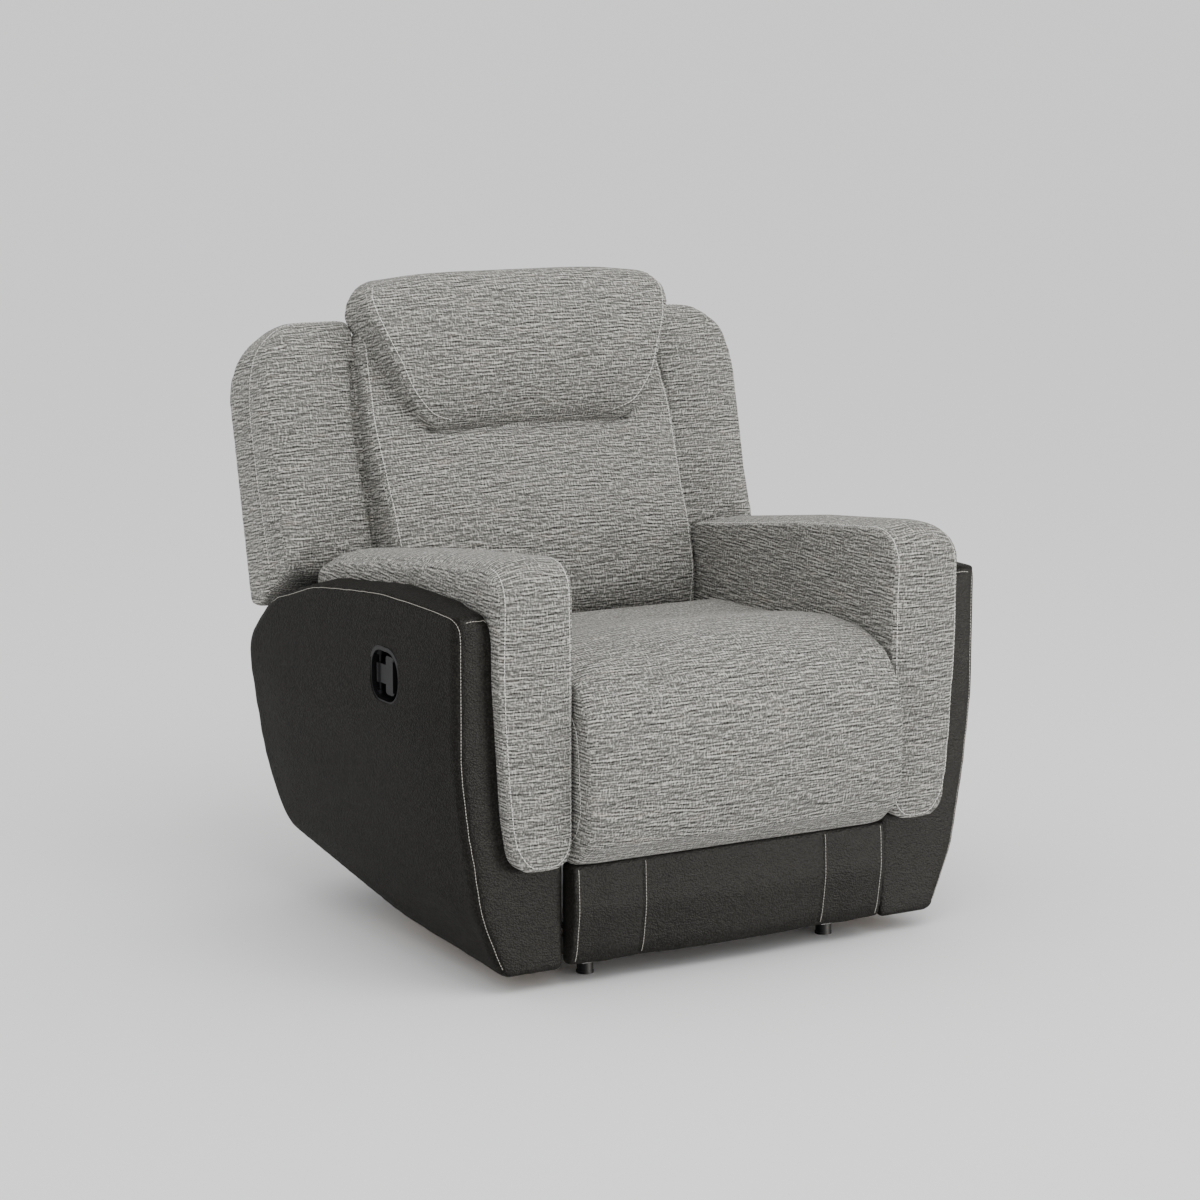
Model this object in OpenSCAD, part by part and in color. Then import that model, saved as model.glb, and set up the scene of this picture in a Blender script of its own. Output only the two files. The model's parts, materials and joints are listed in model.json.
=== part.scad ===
// Recliner armchair: a padded upper body gliding on a low steel base, with a reclining back, a footrest on a
// crank linkage and a pull lever in the side of one arm.
// Millimetres, +Z up. The origin is on the floor under the middle of the chair, the front faces -Y.

/* [Overall] */
// Width over the two leather arm panels
chair_w = 1000; // [990:5:1020]
// Clear width between the arms
seat_w = 610; // [608:1:614]
// Height of the arm pads at the front
arm_h = 706; // [700:1:712]
// Height of the head cushion
chair_h = 1084; // [1078:1:1090]
// Rake of the back from upright, in degrees
back_rake = 11.7; // [11:0.1:12.5]

/* [Base] */
// Distance from the middle to each base rail and foot
foot_x = 234; // [230:1:238]
// Distance from the middle to the front feet
foot_front = 365; // [360:1:368]
// Distance from the middle to the rear feet
foot_rear = 285; // [270:1:295]
// Diameter of a foot
foot_d = 29; // [26:1:30]
// Height of a foot
foot_h = 20; // [18:1:22]

/* [Arms] */
// Gap between the floor and the arm panels
arm_gap = 29; // [27:1:31]
// Thickness of an arm panel with its padding
panel_t = 54; // [50:1:56]
// Lowest edge of the fabric on the front of an arm
tongue_z = 205; // [200:1:210]

/* [Mechanism] */
// Thickness of the steel side plates
plate_t = 3; // [2.5:0.5:3]
// Thickness of the arms, cranks and brackets of the mechanism
link_t = 5; // [4:0.5:5]
// Diameter of the footrest and back pivot bolts
pivot_d = 10; // [8:1:10]
// Diameter of the push rod pins
pin_d = 8; // [6:1:8]
// Diameter of the drive tube
tube_d = 24; // [20:1:24]
// Radial running clearance of the pivots
run_gap = 0.06; // [0.04:0.01:0.08]
// Radial clearance of the open pivot between each crank pin and its push rod
open_gap = 0.4; // [0.3:0.1:0.5]

/* [Springs] */
// Number of seat springs
seat_springs_n = 5; // [4:1:5]
// Number of back springs
back_springs_n = 4; // [3:1:4]
// Thickness of the spring wire
wire_d = 3.6; // [3:0.2:3.8]

/* [Hidden] */
$fn = 48;

leather = [0.17, 0.16, 0.15];
cloth = [0.58, 0.58, 0.57];
wood = [0.76, 0.62, 0.42];
steel = [0.45, 0.46, 0.48];
zinc = [0.72, 0.73, 0.75];
plastic = [0.07, 0.07, 0.08];
nylon = [0.88, 0.88, 0.84];

// Pivots, as [y, z]: footrest, back, drive tube, push rod on the footrest arm, and push rod on the crank.
// The last four points of the linkage form a parallelogram, so both cranks turn as the footrest does.
nose = [-440, 480];
hip = [280, 340];
drive = [-230, 350];
rod_front = [-398, 340];
rod_rear = drive + rod_front - nose;

// Layers of the mechanism, as distances from the middle of the chair
plate_x = 262;
arm_layer = plate_x + plate_t + 2;
rod_layer = arm_layer + link_t + 2;
rod_t = 4;

post_x = arm_layer + link_t;

// Base rails: outside width, height and wall of the tube, and their top
rail_w = 28;
rail_h = 30;
rail_t = 2.5;
rail_top = foot_h + rail_h;

// Wooden seat rails: bottom and top, and the bolts that hold them, as distances along the seat
seat_rail_z = [322, 394];
rail_bolt_y = [-110, 140];
rail_bolt_z = 366;
bolt_hole = 8.04;
plate_holes = [[-340, 372], [rail_bolt_y[0], rail_bolt_z], [rail_bolt_y[1], rail_bolt_z], [175, 340]];
spring_inset = [50, 80];
spring_gap = 2 * (plate_x - spring_inset[0]) / (seat_springs_n - 1);
back_spring_gap = 2 * (post_x - spring_inset[1]) / (back_springs_n - 1);

// Footrest board, as front and rear y and as bottom and top z
board_y = [-425, -410];
board_z = [48, 384];

arm_in = seat_w / 2;
// Thickness of the wall that closes an arm behind its pad, and where it starts
arm_wall = 11;
wall_y = 176;
arm_out = chair_w / 2;
pad_out = arm_out - panel_t;
sheet_in = arm_in + 11;
sheet_out = sheet_in + 9;
cushion_x = arm_in - 7;

// Side outlines, as [y, z, corner radius]
panel_side = [[-428, arm_gap, 8], [-80, 46, 600], [334, 128, 70], [372, 230, 300], [400, 462, 60],
    [300, 545, 150], [110, 597, 400], [-156, 626, 500], [-428, 624, 6]];
frame_side = [[-402, 62, 0], [-80, 78, 0], [315, 150, 0], [352, 240, 0], [372, 440, 0], [288, 518, 0],
    [110, 568, 0], [-402, 586, 0]];
seat_side = [[108, 404, 10], [108, 500, 20], [-200, 528, 300], [-380, 548, 200], nose_point(40, 62),
    nose_point(0, 62), nose_point(-45, 62), nose_point(-90, 62), [-418, 418, 0], [-418, 404, 0]];
pad_front_side = [[-426, 203, 4], [-426, 470, 0], [-506, 455, 0], [-508, 400, 60], [-510, 300, 60],
    [-494, 205, 26]];
kick_side = [[-426, 35, 0], [-426, 202, 0], [-452, 202, 8], [-453, 130, 80], [-440, 60, 60],
    [-430, 35, 4]];
plate_side = [[-300, 59, 10], [215, 59, 10], [262, 240, 60], [304, 324, 22], [296, 366, 18],
    [180, 398, 60], [-300, 398, 60], [-432, 503, 16], [-463, 492, 14], [-452, 458, 14],
    [-330, 346, 60], [-310, 200, 120]];

// Outer face of an arm in front view, from the bottom up, as [x, z, corner radius]
arm_face = [[arm_out - 84, arm_gap, 12], [arm_out - 38, 140, 160], [arm_out - 14, 270, 500],
    [arm_out, 400, 500], [arm_out, 640, 0]];

// Back outlines in the raked frame of the back, as [distance behind the hip, height above it, radius]
back_side = [[-26, 102, 6], [-176, 118, 26], [-192, 220, 90], [-170, 360, 200], [-150, 492, 16],
    [-26, 492, 4]];
head_top = (chair_h - hip[1]) / cos(back_rake) - 18;
head_side = [[-26, 496, 4], [-146, 496, 14], [-176, 580, 60], [-160, head_top - 52, 50],
    [-118, head_top, 40], [-52, head_top, 36], [-26, head_top - 82, 30]];
wing_side = [[-88, 244, 20], [-26, 224, 40], [70, 184, 18], [100, 192, 14], [100, 590, 60],
    [30, 688, 60], [-52, 684, 40], [-70, 560, 200]];
wing_face = [[arm_in + 8, 170, 0], [arm_out - 14, 170, 0], [arm_out - 12, 560, 60],
    [arm_out - 24, 640, 70], [arm_out - 90, 692, 90], [arm_in + 8, 690, 0]];
post_u = [-22, 38];
spring_u = post_u[0] - wire_d;

// Handle cup outline on the arm, as [y, z, corner radius]
cup_side = [[-231, 446, 40], [-127, 446, 34], [-127, 534, 34], [-231, 534, 40]];
cup_depth = 29;
cup_wall = 3;
lever_pivot = [-arm_out + 9, -141, 490];
// Bottom and top of the pin that the lever swings on
lever_pin = [456, 524];

// Route of the release cable inside the arm
cable_route = [[-468, -150, 470], [-446, -146, 462], [-420, -136, 430], [-390, -112, 370], [-362, -84, 312],
    [-338, -58, 276], [-310, -38, 264], [-277, -30, 262]];
cable_r = 3;
cable_sides = 8;

function nose_point(angle, r) = [nose[0] - r * cos(angle), nose[1] + r * sin(angle), 25];
function flat(p) = [p[0], p[1]];
function unit(v) = v / norm(v);
// Corner p between its neighbours a and b, rounded to radius r with n short edges
function corner(a, p, b, r, n) =
    r == 0 ? [p] :
    let (u = unit(a - p), v = unit(b - p), half = acos(u * v) / 2, c = p + unit(u + v) * r / sin(half),
        s = p + u * r / tan(half) - c, e = p + v * r / tan(half) - c, start = atan2(s.y, s.x),
        turn = (atan2(e.y, e.x) - start + 900) % 360 - 180)
    [for (i = [0:n]) c + r * [cos(start + turn * i / n), sin(start + turn * i / n)]];
// Outline with each [x, y, r] corner rounded
function rounded(path, n = 6) = let (m = len(path))
    [for (i = [0:m - 1]) each corner(flat(path[(i + m - 1) % m]), flat(path[i]), flat(path[(i + 1) % m]),
        path[i][2], n)];
// Outline of a convex path moved inwards by d
function inset(path, d) = let (m = len(path))
    [for (i = [0:m - 1]) let (p = flat(path[i]), u = unit(flat(path[(i + m - 1) % m]) - p),
        v = unit(flat(path[(i + 1) % m]) - p)) concat(p + unit(u + v) * d / sin(acos(u * v) / 2),
        [max(0, path[i][2] - d)])];
// One edge of a zigzag wire, side 1 or -1 of its centreline
function wire_edge(bends, pitch, reach, side) =
    [for (i = [0:bends - 1]) let (way = i % 2 == 0 ? 1 : -1, r = pitch / 2)
        for (a = [-90:36:90]) [way * (reach - r) + way * (r + way * side * wire_d / 2) * cos(a),
            (i + 0.5) * pitch + (r + way * side * wire_d / 2) * sin(a)]];
function reversed(list) = [for (i = [len(list) - 1:-1:0]) list[i]];

// Solid between x0 and x1 of an outline drawn in (y, z)
module slab_x(x0, x1) { translate([x0, 0, 0]) rotate([90, 0, 90]) linear_extrude(x1 - x0) children(); }
// Solid between y0 and y1 of an outline drawn in (x, z)
module slab_y(y0, y1) { translate([0, y1, 0]) rotate([90, 0, 0]) linear_extrude(y1 - y0) children(); }
// Bar with round ends from a to b
module bar(a, b, w) {
    d = b - a;
    translate(a) rotate(atan2(d.y, d.x)) translate([0, -w / 2]) square([norm(d), w]);
    translate(a) circle(d = w);
    translate(b) circle(d = w);
}
// Pin or bore along X through the point [y, z]
module rod_x(at, x0, x1, d) { translate([x0, at[0], at[1]]) rotate([0, 90, 0]) cylinder(h = x1 - x0, d = d); }
// Bolt along X with a head at x0 and a nut at x1
module bolt_x(at, x0, x1, d) {
    rod_x(at, x0, x1, d);
    rod_x(at, x0 - 4, x0, d * 1.8);
    translate([x1, at[0], at[1]]) rotate([0, 90, 0]) cylinder(h = 5, d = d * 1.9, $fn = 6);
}
module left() { mirror([1, 0, 0]) children(); }
module both() { children(); left() children(); }
// Frame of the back: its origin at the hip pivot, its z along the back
module on_back() { translate([0, hip[0], hip[1]]) rotate([-back_rake, 0, 0]) children(); }
module box(low, high) { translate(low) cube(high - low); }
module zigzag(bends, pitch, reach) {
    linear_extrude(wire_d) polygon(concat(wire_edge(bends, pitch, reach, 1),
        reversed(wire_edge(bends, pitch, reach, -1))));
}

// ---- Base ----
module base_rail_right() {
    color(steel) difference() {
        box([foot_x - rail_w / 2, -foot_front - 16, foot_h], [foot_x + rail_w / 2, foot_rear + 16, rail_top]);
        box([foot_x - rail_w / 2 + rail_t, -foot_front - 17, foot_h + rail_t],
            [foot_x + rail_w / 2 - rail_t, foot_rear + 17, rail_top + 1]);
        for (y = [-foot_front, foot_rear])
            translate([foot_x, y, foot_h - 1]) cylinder(h = rail_t + 2, d = bolt_hole);
    }
}
module base_rail_left() { left() base_rail_right(); }
module base_cross_tubes() {
    inner = foot_x - rail_w / 2;
    color(steel) for (y = [-330, 250]) difference() {
        rod_x([y, foot_h + 15], -inner, inner, 25);
        rod_x([y, foot_h + 15], -inner - 1, inner + 1, 21);
    }
}
module feet() {
    color(plastic) for (x = [-foot_x, foot_x]) for (y = [-foot_front, foot_rear]) translate([x, y, 0])
        difference() {
            union() {
                cylinder(h = 4, d = foot_d);
                translate([0, 0, 4]) cylinder(h = foot_h - 4, d = foot_d - 2);
            }
            translate([0, 0, 6]) cylinder(h = foot_h, d = bolt_hole);
        }
}
module foot_bolts() {
    color(zinc) for (x = [-foot_x, foot_x]) for (y = [-foot_front, foot_rear]) translate([x, y, 0]) {
        translate([0, 0, 7]) cylinder(h = foot_h + rail_t - 7, d = 8);
        translate([0, 0, foot_h + rail_t]) cylinder(h = 5, d = 14);
    }
}

// ---- Upper body: carriage and plates ----
module glide_blocks() {
    reach = rail_w / 2 - rail_t - 0.3;
    color(nylon) both() for (y = [-270, 150])
        box([foot_x - reach, y, foot_h + rail_t + 0.3], [foot_x + reach, y + 60, rail_top + 6]);
}
module carriage_angles() {
    color(steel) both() {
        box([foot_x - 12, -290, rail_top + 6], [plate_x, 215, rail_top + 9]);
        box([plate_x - plate_t, -290, rail_top + 9], [plate_x, 215, rail_top + 45]);
    }
}
module side_plate_right() {
    color(steel) difference() {
        slab_x(plate_x, plate_x + plate_t) polygon(rounded(plate_side));
        slab_x(plate_x - 1, plate_x + plate_t + 1) {
            translate(nose) circle(d = pivot_d + 0.04);
            translate(hip) circle(d = pivot_d + 0.04);
            translate(drive) circle(d = tube_d + 2 * run_gap);
            for (p = plate_holes) translate(p) circle(d = bolt_hole);
        }
    }
}
module side_plate_left() { left() side_plate_right(); }
module seat_side_rails() {
    color(wood) both() difference() {
        box([plate_x + 24, -385, seat_rail_z[0]], [sheet_in, 190, seat_rail_z[1]]);
        for (y = rail_bolt_y) rod_x([y, rail_bolt_z], plate_x, sheet_in + 1, bolt_hole);
    }
}
module seat_front_rail() {
    color(wood) box([-plate_x + 6, -386, seat_rail_z[0]], [plate_x - 6, -364, seat_rail_z[1]]);
}
module seat_rear_rail() {
    color(wood) box([-plate_x + 6, 168, seat_rail_z[0]], [plate_x - 6, 190, seat_rail_z[1]]);
}
module seat_springs() {
    bends = 22;
    color(zinc) for (i = [0:seat_springs_n - 1])
        translate([i * spring_gap - plate_x + spring_inset[0], -374, seat_rail_z[1]])
            zigzag(bends, 552 / bends, 24);
}
module spring_clips() {
    color(zinc) for (i = [0:seat_springs_n - 1]) for (y = [-384, 170])
        translate([i * spring_gap - plate_x + spring_inset[0] - 11, y, seat_rail_z[1] + wire_d])
            cube([22, 18, 2]);
}
module seat_cushion() {
    color(cloth) difference() {
        slab_x(-cushion_x, cushion_x) polygon(rounded(seat_side, 4));
        both() box([plate_x - 8, -530, 400], [plate_x + 28, -286, 513]);
    }
}
// Bolts from each side plate through the side rail into the arm frame, with a spacer around each
module rail_bolts() {
    color(zinc) both() for (y = rail_bolt_y) {
        bolt_x([y, rail_bolt_z], plate_x, sheet_out, 8);
        rod_x([y, rail_bolt_z], plate_x + plate_t, plate_x + 24, 16);
    }
}
module footrest_pivot_bolts() {
    color(zinc) both() bolt_x(nose, plate_x, arm_layer + link_t + 0.5, pivot_d);
}
module back_pivot_bolts() {
    color(zinc) both() bolt_x(hip, plate_x, arm_layer + link_t + 0.5, pivot_d);
}
module rear_skirt() {
    color(leather) box([-arm_in + 3, 381, 96], [arm_in - 3, 390, 300]);
}

// ---- Arms ----
// Front view of a whole arm, from its inner face to its bowed outer face
module arm_shape() {
    polygon(rounded(concat([[arm_in + 3, arm_gap, 0]], arm_face, [[arm_in + 3, 640, 0]])));
}
// Front view of the hollow inside an arm panel
module arm_hollow() {
    polygon([[arm_in, 0], [arm_out - 124, 0], [arm_out - 76, 150], [arm_out - panel_t, 280],
        [arm_out - panel_t, 650], [arm_in, 650]]);
}
module arm_frame_right() {
    color(wood) difference() {
        intersection() {
            slab_x(sheet_in, pad_out) polygon(rounded(frame_side));
            slab_y(-410, 390) arm_hollow();
        }
        slab_x(sheet_out, pad_out + 1) polygon(rounded(inset(frame_side, 18)));
        for (y = rail_bolt_y) rod_x([y, rail_bolt_z], sheet_in - 1, sheet_out + 1, bolt_hole);
        rod_x([-40, 265], sheet_in - 1, sheet_out + 1, 26);
    }
}
module arm_frame_left() { left() arm_frame_right(); }
// Padded outer board, an apron across the lower front, and a thin wall that closes the arm behind the pad
module arm_panel_right() {
    color(leather) intersection() {
        slab_x(arm_in, arm_out + 1) polygon(rounded(panel_side));
        slab_y(-430, 410) arm_shape();
        union() {
            difference() {
                box([arm_in, -430, 0], [arm_out + 1, 410, 650]);
                slab_y(-431, 411) arm_hollow();
                box([arm_in - 1, -431, tongue_z - 2], [pad_out, -404, 650]);
            }
            box([arm_in, -430, 0], [arm_out - panel_t + 1, -404, tongue_z - 2]);
            difference() {
                box([arm_in, wall_y, 0], [arm_out - panel_t + 1, 410, 650]);
                slab_x(arm_in - 1, arm_out) polygon(rounded(inset(panel_side, arm_wall)));
            }
        }
    }
}
module arm_panel_left() {
    color(leather) difference() {
        left() arm_panel_right();
        slab_x(-arm_out - 1, -arm_out + panel_t + 1) polygon(rounded(cup_side));
    }
}
// Front view of an arm pad with its top at height top
module pad_face(low, top) {
    polygon(rounded([[arm_in, low, 38], [pad_out, low, 38], [pad_out, top, 46], [arm_in, top, 46]], 7));
}
module arm_pad_right() {
    color(cloth) difference() {
        union() {
            hull() {
                slab_y(-446, -444) pad_face(tongue_z + 20, arm_h + 2);
                slab_y(-390, -388) pad_face(tongue_z + 60, arm_h + 2);
                slab_y(-456, -454) pad_face(tongue_z + 6, arm_h - 6);
                slab_y(-406, -405) pad_face(tongue_z, arm_h);
            }
            hull() {
                slab_y(-390, -388) pad_face(400, arm_h + 2);
                slab_y(195, 197) pad_face(400, arm_h - 74);
                slab_y(220, 222) pad_face(400, arm_h - 94);
                slab_y(232, 233) pad_face(400, arm_h - 118);
            }
        }
        box([arm_in + 11, -405, 200], [pad_out + 1, wall_y, 590]);
        // Seat of the pad on top of the arm wall
        intersection() {
            slab_x(arm_in - 1, pad_out + 1) polygon(rounded(inset(panel_side, -0.5)));
            box([arm_in - 1, wall_y, 0], [pad_out + 1, 410, 650]);
        }
    }
}
module arm_pad_left() { left() arm_pad_right(); }

// ---- Release handle ----
module handle_cup() {
    color(plastic) difference() {
        union() {
            difference() {
                union() {
                    slab_x(-arm_out - 2.5, -arm_out) polygon(rounded(inset(cup_side, -4)));
                    slab_x(-arm_out, -arm_out + cup_depth) polygon(rounded(inset(cup_side, 0.3)));
                }
                slab_x(-arm_out - 3, -arm_out + cup_depth - cup_wall)
                    polygon(rounded(inset(cup_side, cup_wall)));
            }
            // Bosses that hold the ends of the pin
            intersection() {
                slab_x(-arm_out + 2, -arm_out + cup_depth - 1) polygon(rounded(inset(cup_side, 1)));
                for (z = [440, 520]) on_lever(z) cylinder(h = 20, d = 12);
            }
        }
        on_lever(lever_pin[0]) cylinder(h = lever_pin[1] - lever_pin[0], d = 5.04);
    }
}
module on_lever(z) { translate([lever_pivot.x, lever_pivot.y, z]) children(); }
module handle_pin() {
    color(steel) on_lever(lever_pin[0]) cylinder(h = lever_pin[1] - lever_pin[0], d = 5);
}
module release_lever() {
    x0 = lever_pivot.x - 4;
    color(plastic) difference() {
        union() {
            on_lever(474) cylinder(h = 32, d = 14);
            box([x0, -174, 474], [x0 + 8, lever_pivot.y, 506]);
            slab_x(x0, x0 + 8)
                polygon(rounded([[-200, 458, 10], [-168, 458, 6], [-168, 522, 6], [-200, 522, 10]]));
            box([x0 - 3, -200, 464], [x0, -195, 516]);
        }
        on_lever(470) cylinder(h = 40, d = 5 + 2 * run_gap);
    }
}
module cable_bracket() {
    color(steel) box([-plate_x - plate_t - 12, -44, 250], [-plate_x - plate_t, -16, 274]);
}
function cable_ring(i) = let (n = len(cable_route), p = cable_route[i],
    t = unit(cable_route[min(i + 1, n - 1)] - cable_route[max(i - 1, 0)]),
    u = unit(cross(t, [0, 0, 1])), v = cross(t, u))
    [for (k = [0:cable_sides - 1]) let (a = k * 360 / cable_sides) p + cable_r * (cos(a) * u + sin(a) * v)];
module release_cable() {
    rings = len(cable_route);
    last = (rings - 1) * cable_sides;
    color(plastic) polyhedron(
        points = [for (i = [0:rings - 1]) each cable_ring(i)],
        faces = concat([[for (k = [0:cable_sides - 1]) k]], [[for (k = [cable_sides - 1:-1:0]) last + k]],
            [for (i = [0:rings - 2]) for (k = [0:cable_sides - 1])
                let (m = (k + 1) % cable_sides, a = i * cable_sides, b = a + cable_sides)
                [a + k, b + k, b + m, a + m]]));
}

// ---- Footrest drive ----
module drive_tube() {
    color(steel) difference() {
        rod_x(drive, -arm_layer - link_t, arm_layer + link_t, tube_d);
        rod_x(drive, -arm_layer - link_t - 1, arm_layer + link_t + 1, tube_d - 5);
    }
}
module crank_right() {
    color(steel) difference() {
        slab_x(arm_layer, arm_layer + link_t) union() {
            translate(drive) circle(d = tube_d + 18);
            bar(drive, rod_rear, 24);
        }
        rod_x(drive, arm_layer - 1, arm_layer + link_t + 1, tube_d + 0.04);
        rod_x(rod_rear, arm_layer - 1, arm_layer + link_t + 1, pin_d + 0.04);
    }
}
module crank_left() { left() crank_right(); }
module link_pin(at) {
    rod_x(at, arm_layer, rod_layer + rod_t + 0.5, pin_d);
    rod_x(at, rod_layer + rod_t + 0.5, rod_layer + rod_t + 3, pin_d * 1.7);
    rod_x(at, arm_layer + link_t, rod_layer - 0.3, pin_d * 1.6);
}
module crank_pins() { color(zinc) both() link_pin(rod_rear); }
module rod_pins() { color(zinc) both() link_pin(rod_front); }
module push_rod_right() {
    color(steel) difference() {
        slab_x(rod_layer, rod_layer + rod_t) bar(rod_front, rod_rear, 22);
        rod_x(rod_front, rod_layer - 1, rod_layer + rod_t + 1, pin_d + 2 * run_gap);
        rod_x(rod_rear, rod_layer - 1, rod_layer + rod_t + 1, pin_d + 2 * open_gap);
    }
}
module push_rod_left() { left() push_rod_right(); }

// ---- Footrest ----
module footrest_board() {
    color(wood) box([-290, board_y[0], board_z[0]], [290, board_y[1], board_z[1]]);
}
module footrest_arm_right() {
    color(steel) difference() {
        union() {
            slab_x(arm_layer, arm_layer + link_t) union() {
                translate(nose) circle(d = 32);
                bar(nose, [board_y[1] + 12, 392], 22);
                translate([board_y[1], 100]) square([24, 300]);
            }
            box([arm_layer - 26, board_y[1], 100], [arm_layer, board_y[1] + 3, 372]);
        }
        rod_x(nose, arm_layer - 1, arm_layer + link_t + 1, pivot_d + 2 * run_gap);
        rod_x(rod_front, arm_layer - 1, arm_layer + link_t + 1, pin_d + 0.04);
    }
}
module footrest_arm_left() { left() footrest_arm_right(); }
module footrest_screws() {
    color(zinc) both() for (z = [120, 230, 340])
        translate([arm_layer - 13, board_y[1] + 3, z]) rotate([-90, 0, 0]) cylinder(h = 3, d = 11);
}
module footrest_pad() {
    color(cloth) difference() {
        slab_x(-cushion_x, cushion_x) polygon(rounded(pad_front_side));
        rod_x(nose, -cushion_x - 1, cushion_x + 1, 128);
    }
}
module kick_panel() {
    color(leather) slab_x(-cushion_x - 2, cushion_x + 2) polygon(rounded(kick_side));
}

// ---- Back ----
module back_bracket_right() {
    color(steel) difference() {
        on_back() slab_x(arm_layer, arm_layer + link_t) union() {
            circle(d = 40);
            translate([-18, 0]) square([36, 175]);
        }
        rod_x(hip, arm_layer - 1, arm_layer + link_t + 1, pivot_d + 2 * run_gap);
    }
}
module back_bracket_left() { left() back_bracket_right(); }
module back_post_right() {
    color(wood) on_back() box([post_x, post_u[0], 32], [post_x + 25, post_u[1], 622]);
}
module back_post_left() { left() back_post_right(); }
module back_rails() {
    color(wood) on_back() for (rail = [[48, arm_layer], [330, post_x], [574, post_x]])
        box([-rail[1], post_u[0], rail[0]], [rail[1], post_u[0] + 22, rail[0] + 52]);
}
module back_springs() {
    bends = 20;
    color(zinc) on_back() for (i = [0:back_springs_n - 1])
        translate([-post_x + spring_inset[1] + i * back_spring_gap, post_u[0], 70]) rotate([90, 0, 0])
            zigzag(bends, 548 / bends, 24);
}
module back_cushion() {
    color(cloth) on_back() slab_x(-cushion_x, cushion_x) polygon(rounded(back_side));
}
module head_cushion() {
    color(cloth) on_back() intersection() {
        slab_x(-arm_in, arm_in) polygon(rounded(head_side));
        slab_y(-300, 100) polygon(rounded([[-arm_in, 400, 0], [arm_in, 400, 0], [arm_in, 640, 100],
            [arm_in - 28, head_top, 50], [-arm_in + 28, head_top, 50], [-arm_in, 640, 100]]));
    }
}
module wing_right() {
    color(cloth) on_back() intersection() {
        slab_x(arm_in + 8, arm_out) polygon(rounded(wing_side));
        slab_y(-200, 200) polygon(rounded(wing_face));
    }
}
module wing_left() { left() wing_right(); }
// Padded board across the rear, narrower between the arms, with a lip that closes the top of the back
module rear_cover() {
    color(cloth) on_back() {
        slab_y(78, 94) polygon([[-arm_in + 9, -35], [arm_in - 9, -35], [arm_in - 9, 215], [arm_in + 6, 250],
            [arm_in + 6, 646], [-arm_in - 6, 646], [-arm_in - 6, 250], [-arm_in + 9, 215]]);
        box([-arm_in + 1, -24, 630], [arm_in - 1, 79, 646]);
    }
}

base_rail_left();
base_rail_right();
base_cross_tubes();
feet();
foot_bolts();
glide_blocks();
carriage_angles();
side_plate_left();
side_plate_right();
seat_side_rails();
seat_front_rail();
seat_rear_rail();
seat_springs();
spring_clips();
seat_cushion();
rail_bolts();
arm_frame_left();
arm_frame_right();
arm_panel_left();
arm_panel_right();
arm_pad_left();
arm_pad_right();
rear_skirt();
footrest_pivot_bolts();
back_pivot_bolts();
handle_cup();
handle_pin();
release_cable();
cable_bracket();
drive_tube();
crank_left();
crank_right();
crank_pins();
push_rod_left();
push_rod_right();
footrest_board();
footrest_pad();
kick_panel();
footrest_arm_left();
footrest_arm_right();
rod_pins();
footrest_screws();
back_bracket_left();
back_bracket_right();
back_post_left();
back_post_right();
back_rails();
back_springs();
back_cushion();
head_cushion();
wing_left();
wing_right();
rear_cover();
release_lever();
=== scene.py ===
"""Looks of the recliner armchair: padded pieces, leather panels, stitching, materials, light and camera.

Sizes are in metres in the frame that the CAD model shares: the front faces -Y, +X is on the right of a viewer
who stands in front, +Z is up, and the origin is on the floor below the middle. The outlines given to fillet()
are in millimetres. The back is shaped in its own raked frame, whose origin is the hip pivot.
"""
import json
import math

import bpy
import bmesh
import numpy as np
from mathutils import Matrix, Vector
from mathutils.bvhtree import BVHTree
from mathutils.kdtree import KDTree


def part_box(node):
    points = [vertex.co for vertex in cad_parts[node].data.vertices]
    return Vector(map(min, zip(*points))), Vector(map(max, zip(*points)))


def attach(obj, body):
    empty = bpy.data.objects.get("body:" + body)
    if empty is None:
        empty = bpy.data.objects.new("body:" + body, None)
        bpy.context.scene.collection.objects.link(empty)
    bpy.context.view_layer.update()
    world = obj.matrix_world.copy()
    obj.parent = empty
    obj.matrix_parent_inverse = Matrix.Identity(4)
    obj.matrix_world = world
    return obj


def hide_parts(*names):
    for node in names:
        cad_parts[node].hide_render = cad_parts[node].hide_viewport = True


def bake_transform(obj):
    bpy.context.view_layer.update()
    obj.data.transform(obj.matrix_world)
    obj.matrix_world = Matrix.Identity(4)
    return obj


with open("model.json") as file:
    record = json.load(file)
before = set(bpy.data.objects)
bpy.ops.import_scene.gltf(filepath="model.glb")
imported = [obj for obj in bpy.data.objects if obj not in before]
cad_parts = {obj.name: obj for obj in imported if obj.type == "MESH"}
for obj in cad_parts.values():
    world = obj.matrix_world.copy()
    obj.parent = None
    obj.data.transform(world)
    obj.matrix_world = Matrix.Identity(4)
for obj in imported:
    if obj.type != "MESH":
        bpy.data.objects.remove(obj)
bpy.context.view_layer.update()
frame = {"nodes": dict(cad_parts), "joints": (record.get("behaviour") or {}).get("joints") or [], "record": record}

MM = 0.001
JOINTS = {j["name"]: j for j in frame["joints"]}
HIP = Vector(JOINTS["back_recline"]["pos_m"])
RAKE = math.radians(11.7)  # how far the back leans at rest
BACK = Matrix.Translation(HIP) @ Matrix.Rotation(-RAKE, 4, "X")
ARM_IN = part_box("arm_pad_right")[0].x
PAD_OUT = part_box("arm_pad_right")[1].x
ARM_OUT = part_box("arm_panel_right")[1].x
ARM_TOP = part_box("arm_pad_right")[1].z
CUSHION_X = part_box("seat_cushion")[1].x
PAD_X = CUSHION_X + 3 * MM  # half the width of the chaise pad and the kick panel
KICK_FACE_Y = -0.452
VOXEL = 6.5 * MM  # of a remesh, unless a piece needs it finer
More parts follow.
